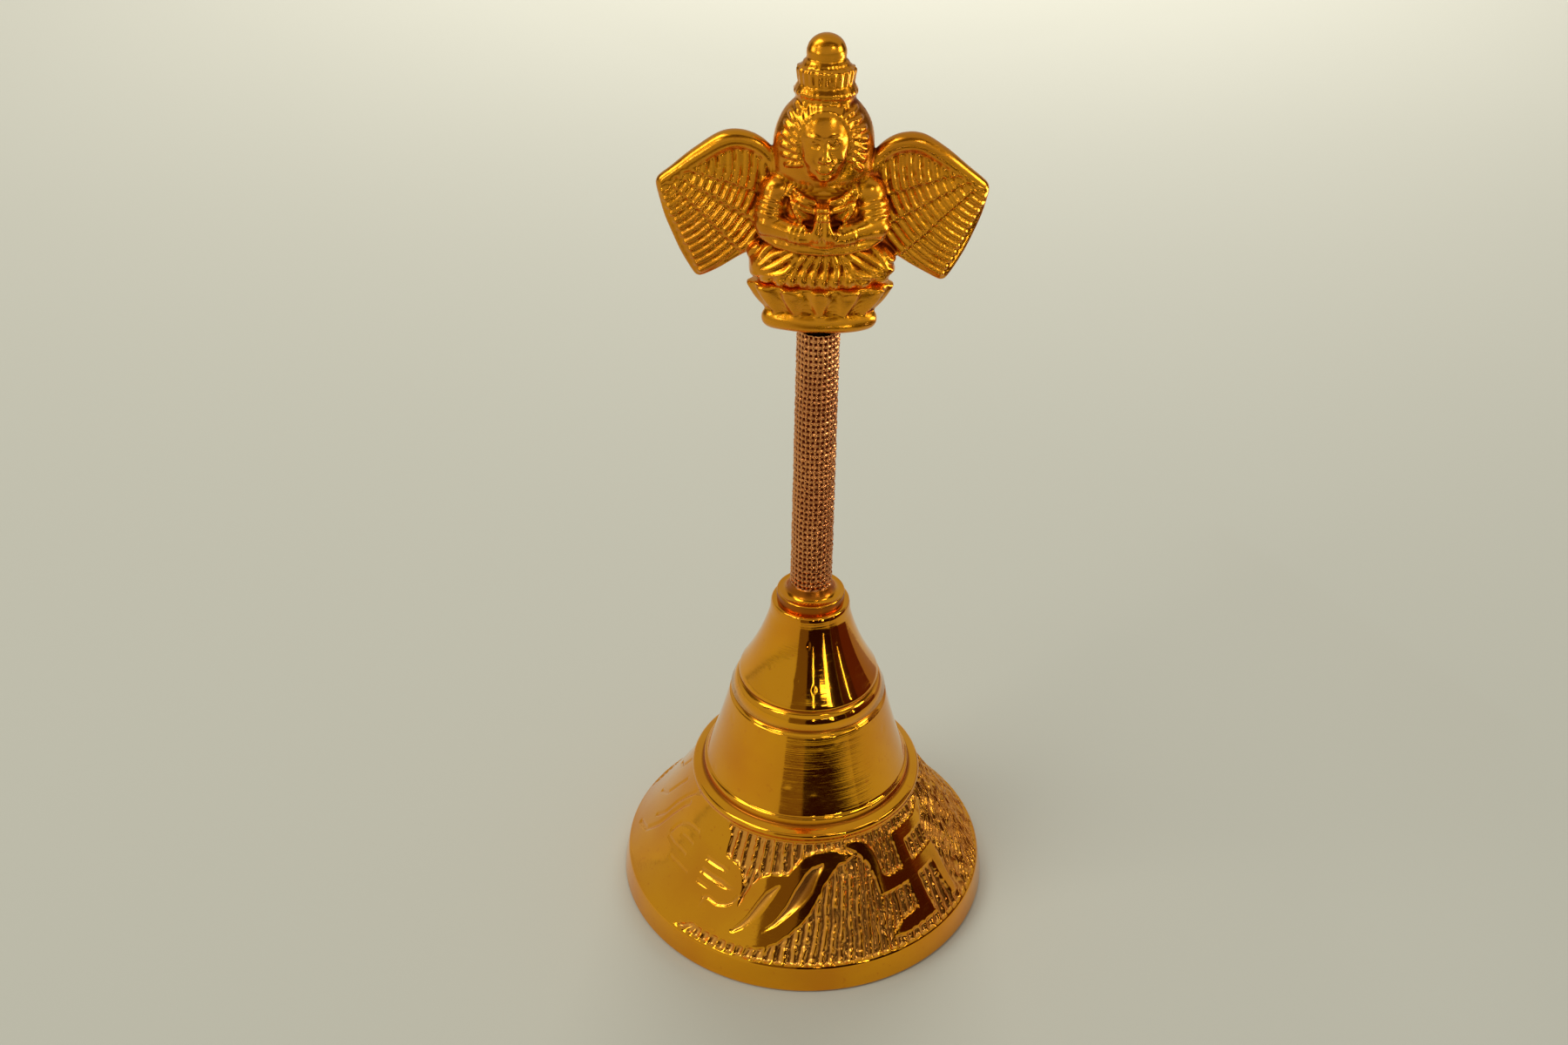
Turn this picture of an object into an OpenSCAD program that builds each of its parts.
// Brass puja hand bell: a turned bell with an engraved skirt, a woven-pattern grip,
// a kneeling winged figure on a lotus seat, and a clapper hung on a swivel eye.
// Origin: centre of the rim, on the plane that the bell stands on. +Z up, figure faces -Y.

/* [Bell] */
// Outer radius of the rim where it stands
rim_r = 33; // [31:0.5:34]
// Height of the smooth rim band
rim_band_h = 4.8; // [4:0.2:5]
// Width of the flat ring that the bell stands on
rim_flat = 3.4; // [3:0.1:3.8]
// Wall thickness of the bell above the rim, along the radius
wall = 2.6; // [2.2:0.1:2.8]
// Height of the crown, where the collar sits
crown_z = 59.7; // [59.3:0.1:60.5]
// Radius of the crown's flat top
crown_r = 6.45; // [6:0.05:6.5]
// Height of the ceiling inside the bell
ceiling_z = 55.5; // [55.3:0.1:56]

/* [Grip] */
// Outer radius of the collar's lip
collar_r = 5.7; // [5:0.1:6]
// Height of the collar's lip above the crown
collar_lip_h = 1.75; // [1.5:0.05:2]
// Full height of the collar, up to the foot of the grip
collar_h = 3.4; // [3:0.1:3.6]
// Radius of the grip at its foot
grip_foot_r = 3.45; // [3.2:0.05:3.6]
// Radius of the grip under the figure
grip_top_r = 3.3; // [3.1:0.05:3.4]
// Length of the grip
grip_len = 47.1; // [40:0.1:50]

/* [Figure] */
// Half the width across the wing tips
wing_span = 24.3; // [22:0.1:25]
// Half the width of the lotus seat at its rim
lotus_half_w = 11.2; // [10:0.1:12]
// Half the depth of the lotus seat at its rim
lotus_half_d = 4.4; // [4:0.1:5]
// Half the width of the base disc
disc_half_w = 8.75; // [8:0.05:9]
// Thickness of the base disc
disc_h = 3.3; // [3:0.1:3.4]

/* [Clapper] */
// Radius of the clapper ball
ball_r = 5; // [4:0.1:5]
// Height of the ball's centre above the rim plane
ball_z = 12; // [11:0.5:14]
// Radius of the clapper rod
clapper_rod_r = 0.9; // [0.8:0.05:1]

/* [Fixings] */
// Radius of the long tie stud (M3)
stud_r = 1.5; // [1.5:0.01:1.5]
// Width across flats of the hanger nut
nut_af = 6; // [5.5:0.1:6.4]
// Height of the hanger nut
nut_h = 6; // [5.6:0.1:6.2]

/* [Hidden] */
$fn = 96;

brass = [0.86, 0.62, 0.20];
old_brass = [0.74, 0.50, 0.18];
copper_tint = [0.80, 0.50, 0.36];
steel = [0.62, 0.63, 0.65];

eps = 0.01;
stud_bore_r = stud_r + 0.2;
soft_fn = 22;

// Heights up the stack
collar_z = crown_z;
grip_z = collar_z + collar_h;
finial_z = grip_z + grip_len;
lotus_z = finial_z + disc_h;
lotus_h = 4.8;
lap_z = lotus_z + lotus_h;

// The bell's outer profile, from the rim band up to the crown
band_r = rim_r - 0.84;
bead_z = 23.5;
bead_r = 19.6;
ridge_z = 24.5;
ridge_r = 18.4;
middle_z = 26.1;
middle_r = 17.6;
low_groove_z = 40.95;
low_groove_r = 13.0;
high_groove_z = 44.2;
high_groove_r = 11.75;

// The hanger inside the crown
washer_r = 4.2;
washer_t = 0.8;
nut_z = ceiling_z - washer_t - nut_h;
nut_lip = 1;
shank_r = 1;
shank_gap = 0.06;
eye_head_r = stud_r - 0.08;
eye_wire_r = 0.7;
eye_r = 2;
eye_z = nut_z - 3.8;
pivot_z = eye_z - eye_r;
loop_wire_r = 0.6;
loop_r = 2;
loop_z = pivot_z - 0.5;
stud_low_z = nut_z + 3.1;
stud_top_z = lap_z + 2.2;

// A quadratic curve from a to c, pulled towards b, in n steps
function curve(a, b, c, n) = [for (i = [0:n]) let (t = i / n)
    (1 - t) * (1 - t) * a + 2 * t * (1 - t) * b + t * t * c];

// Part of a circle in the (radius, height) plane
function arc(c, r, from, to, n) = [for (i = [0:n]) let (a = from + (to - from) * i / n)
    [c[0] + r * cos(a), c[1] + r * sin(a)]];

skirt = curve([band_r - 0.5, rim_band_h + 0.4], [27, 10.6], [20.1, bead_z - 1], 10);
middle = curve([middle_r, middle_z], [15.2, 33], [low_groove_r + 0.5, low_groove_z - 0.7], 8);
upper = curve([high_groove_r + 0.05, high_groove_z + 1.1], [8.2, 51.2], [6.75, crown_z - 2.2], 8);

outer_profile = concat(
    [[rim_r, 0], [rim_r, 0.5], [band_r, rim_band_h]],
    skirt,
    arc([bead_r - 0.1, bead_z], 0.75, -45, 75, 5),
    [[ridge_r + 0.3, ridge_z - 0.1], [ridge_r - 0.2, ridge_z + 0.1], [middle_r + 0.5, middle_z - 0.2]],
    middle,
    [[low_groove_r, low_groove_z - 0.15], [low_groove_r, low_groove_z + 0.15],
     [low_groove_r + 0.3, low_groove_z + 0.45], [high_groove_r + 0.55, high_groove_z - 0.45],
     [high_groove_r, high_groove_z - 0.15], [high_groove_r, high_groove_z + 0.15],
     [high_groove_r + 0.3, high_groove_z + 0.4]],
    upper,
    [[crown_r + 0.2, crown_z - 0.7], [crown_r, crown_z]]);

inner_profile = concat(
    curve([rim_r - rim_flat, 0], [rim_r - rim_flat - 0.6, 3.2], [26.2, 8], 4),
    curve([24.6, 10.6], [20.6, 17.4], [17.2, bead_z], 6),
    curve([15.3, 27], [12.8, 34.6], [low_groove_r - wall + 0.4, low_groove_z], 6),
    curve([9.3, 44.2], [5.6, 50.4], [5.1, ceiling_z - 1], 6),
    [[5.1, ceiling_z]]);

module bell_body() {
    color(brass)
    difference() {
        rotate_extrude()
            polygon(concat(outer_profile, [[0, crown_z], [0, ceiling_z]],
                [for (i = [len(inner_profile) - 1:-1:0]) inner_profile[i]]));
        translate([0, 0, ceiling_z - 1])
            cylinder(r = stud_bore_r, h = crown_z - ceiling_z + 2);
    }
}

module crown_collar() {
    color(brass)
    translate([0, 0, collar_z])
    rotate_extrude()
        polygon(concat(
            [[stud_bore_r, 0], [collar_r - 0.15, 0], [collar_r, 0.2], [collar_r, collar_lip_h - 0.15],
             [collar_r - 0.15, collar_lip_h]],
            curve([collar_r - 0.4, collar_lip_h - 0.05], [grip_foot_r + 0.5, collar_lip_h - 0.2],
                  [grip_foot_r + 0.05, collar_h], 8),
            [[stud_bore_r, collar_h]]));
}

module grip() {
    color(copper_tint)
    translate([0, 0, grip_z])
    difference() {
        cylinder(r1 = grip_foot_r, r2 = grip_top_r, h = grip_len);
        translate([0, 0, -1])
            cylinder(r = stud_bore_r, h = grip_len + 2);
    }
}

// A limb with round ends, from one point to another
module limb(from, to, r1, r2) {
    hull() {
        translate(from)
            sphere(r1);
        translate(to)
            sphere(r2);
    }
}

// A flat oval disc with a round edge: two round ends and a straight middle
module rounded_oval(half_w, half_d, h) {
    edge = arc([half_d - h / 2, 0], h / 2, -90, 90, 8);
    end_x = half_w - half_d;
    translate([0, 0, h / 2]) {
        for (side = [-1, 1])
            translate([side * end_x, 0, 0])
                rotate_extrude()
                    polygon(concat([[0, -h / 2]], edge, [[0, h / 2]]));
        translate([-end_x, 0, 0])
            rotate([90, 0, 90])
                linear_extrude(height = 2 * end_x)
                    polygon(concat(edge, [for (p = edge) [-p[0], -p[1]]]));
    }
}

// The lotus seat: petals all round, narrower at its foot
module lotus_seat() {
    petals = 18;
    foot = [disc_half_w / lotus_half_w, (lotus_half_d - 0.9) / lotus_half_d];
    translate([0, 0, lotus_h])
        mirror([0, 0, 1])
            linear_extrude(height = lotus_h, scale = foot, slices = 1, $fn = 0)
                polygon([for (i = [0:5:355])
                    let (flute = 1 - 0.045 * abs(cos(petals * i / 2)))
                    [lotus_half_w * cos(i) * flute, lotus_half_d * sin(i) * flute]]);
}

// One wing, to the right of the figure: three tiers of feathers and a rolled leading edge
module wing() {
    shoulder = [5, 135];
    edge_r = 1.25;
    tiers = [[1, 1.6], [0.76, 2.3], [0.52, 3]];
    outline = [[0, 0], [2.6, 3.8], [6.1, 5.9], [8.9, 6.3], [12.2, 4.7], [wing_span - 5.2, -1.1],
               [wing_span - 5, -3], [wing_span - 6.3, -8], [wing_span - 8.5, -13.2],
               [wing_span - 11.6, -16.6], [8.8, -14.8], [4, -12.4]];
    translate([shoulder[0], 0.7, shoulder[1]]) {
        for (tier = tiers)
            translate([0.31 * (1 - tier[0]), 0, 0.47 * (1 - tier[0])])
                rotate([90, 0, 0])
                    linear_extrude(height = tier[1], center = true)
                        polygon(outline * tier[0]);
        limb([2.4, 0, 2.6], [8.4, 0, 5.2], edge_r, edge_r);
        limb([8.4, 0, 5.2], [wing_span - 6.6, 0, -1.4], edge_r, edge_r - 0.3);
    }
}

module legs() {
    hull()
        for (side = [-1, 0, 1])
            translate([side * 7.2, -0.6 * (1 - abs(side)), lap_z + 2.2])
                sphere(3.5);
}

module torso() {
    hull()
        for (side = [-1, 1]) {
            translate([side * 4.4, 0, lap_z + 13.2])
                sphere(2.7);
            translate([side * 2.2, 0, lap_z + 5])
                sphere(3.2);
        }
}

module arms() {
    shoulder = [6.2, -0.4, lap_z + 13.4];
    elbow = [8.2, -1.4, lap_z + 8.2];
    finger_tips = [0.9, -4.9, lap_z + 12.6];
    for (side = [0, 1])
        mirror([side, 0, 0]) {
            limb(shoulder, elbow, 2, 1.7);
            limb(elbow, finger_tips, 1.5, 0.95);
        }
}

module head_and_crown() {
    hull() {
        for (side = [-1, 1])
            translate([side * 3.2, 0.3, lap_z + 20.4])
                sphere(4.2);
        translate([0, 0.2, lap_z + 25.6])
            sphere(4);
    }
    translate([0, -2, lap_z + 22.3])
        sphere(3.4);
    translate([0, 0, lap_z + 27.4])
        cylinder(r = 4.1, h = 2.2);
    translate([0, 0, lap_z + 30.2])
        cylinder(r1 = 4.2, r2 = 3.9, h = 2.4);
    translate([0, 0, lap_z + 29])
        cylinder(r = 3.6, h = 3);
    translate([0, 0, lap_z + 32])
        cylinder(r = 2.75, h = 2.3);
    translate([0, 0, lap_z + 34.3])
        sphere(2.75);
}

// The figure's shape holds no fit but the stud's thread, so its rounds are coarse
module garuda_finial() {
    $fn = soft_fn;
    color(old_brass)
    difference() {
        union() {
            translate([0, 0, finial_z])
                rounded_oval(disc_half_w, lotus_half_d - 0.8, disc_h);
            translate([0, 0, lotus_z - 0.3])
                lotus_seat();
            legs();
            torso();
            arms();
            head_and_crown();
            wing();
            mirror([1, 0, 0]) wing();
        }
        translate([0, 0, finial_z - 1])
            cylinder(r = stud_r, h = stud_top_z - finial_z + 1.5);
    }
}

module tie_stud() {
    color(steel)
    translate([0, 0, stud_low_z])
        cylinder(r = stud_r, h = stud_top_z - stud_low_z);
}

module crown_washer() {
    color(steel)
    translate([0, 0, ceiling_z - washer_t])
    difference() {
        cylinder(r = washer_r, h = washer_t);
        translate([0, 0, -1])
            cylinder(r = stud_bore_r, h = washer_t + 2);
    }
}

// The nut clamps the whole stack; its lower lip holds the swivel eye's head
module hanger_nut() {
    color(steel)
    translate([0, 0, nut_z])
    difference() {
        cylinder(r = nut_af / 2 / cos(30), h = nut_h, $fn = 6);
        translate([0, 0, nut_lip])
            cylinder(r = stud_r, h = nut_h);
        translate([0, 0, -1])
            cylinder(r = shank_r + shank_gap, h = nut_lip + 1 + eps);
    }
}

module swivel_eye() {
    color(steel) {
        translate([0, 0, nut_z + nut_lip + 0.05])
            cylinder(r = eye_head_r, h = 1);
        translate([0, 0, eye_z + eye_r - 0.3])
            cylinder(r = shank_r, h = nut_z + nut_lip + 0.1 - eye_z - eye_r + 0.3);
        translate([0, 0, eye_z])
            rotate([90, 0, 0])
                rotate_extrude()
                    translate([eye_r, 0])
                        circle(eye_wire_r);
    }
}

// The rod's top is bent into a loop; its foot is peened over under the ball
module clapper_rod() {
    peen_h = 0.8;
    rod_low = ball_z - ball_r - peen_h;
    color(brass) {
        translate([0, 0, loop_z])
            rotate([0, 90, 0])
                rotate_extrude()
                    translate([loop_r, 0])
                        circle(loop_wire_r);
        translate([0, 0, rod_low])
            cylinder(r = clapper_rod_r, h = loop_z - loop_r + 0.2 - rod_low);
        translate([0, 0, rod_low])
            cylinder(r1 = clapper_rod_r + 0.2, r2 = clapper_rod_r + 0.6, h = peen_h + 0.3);
    }
}

module clapper_ball() {
    flat = 0.3;
    color(brass)
    translate([0, 0, ball_z])
    difference() {
        intersection() {
            sphere(ball_r);
            translate([0, 0, flat - ball_r])
                cylinder(r = ball_r, h = 2 * (ball_r - flat));
        }
        cylinder(r = clapper_rod_r, h = 3 * ball_r, center = true);
    }
}

bell_body();
crown_collar();
grip();
garuda_finial();
tie_stud();
crown_washer();
hanger_nut();
swivel_eye();
clapper_rod();
clapper_ball();
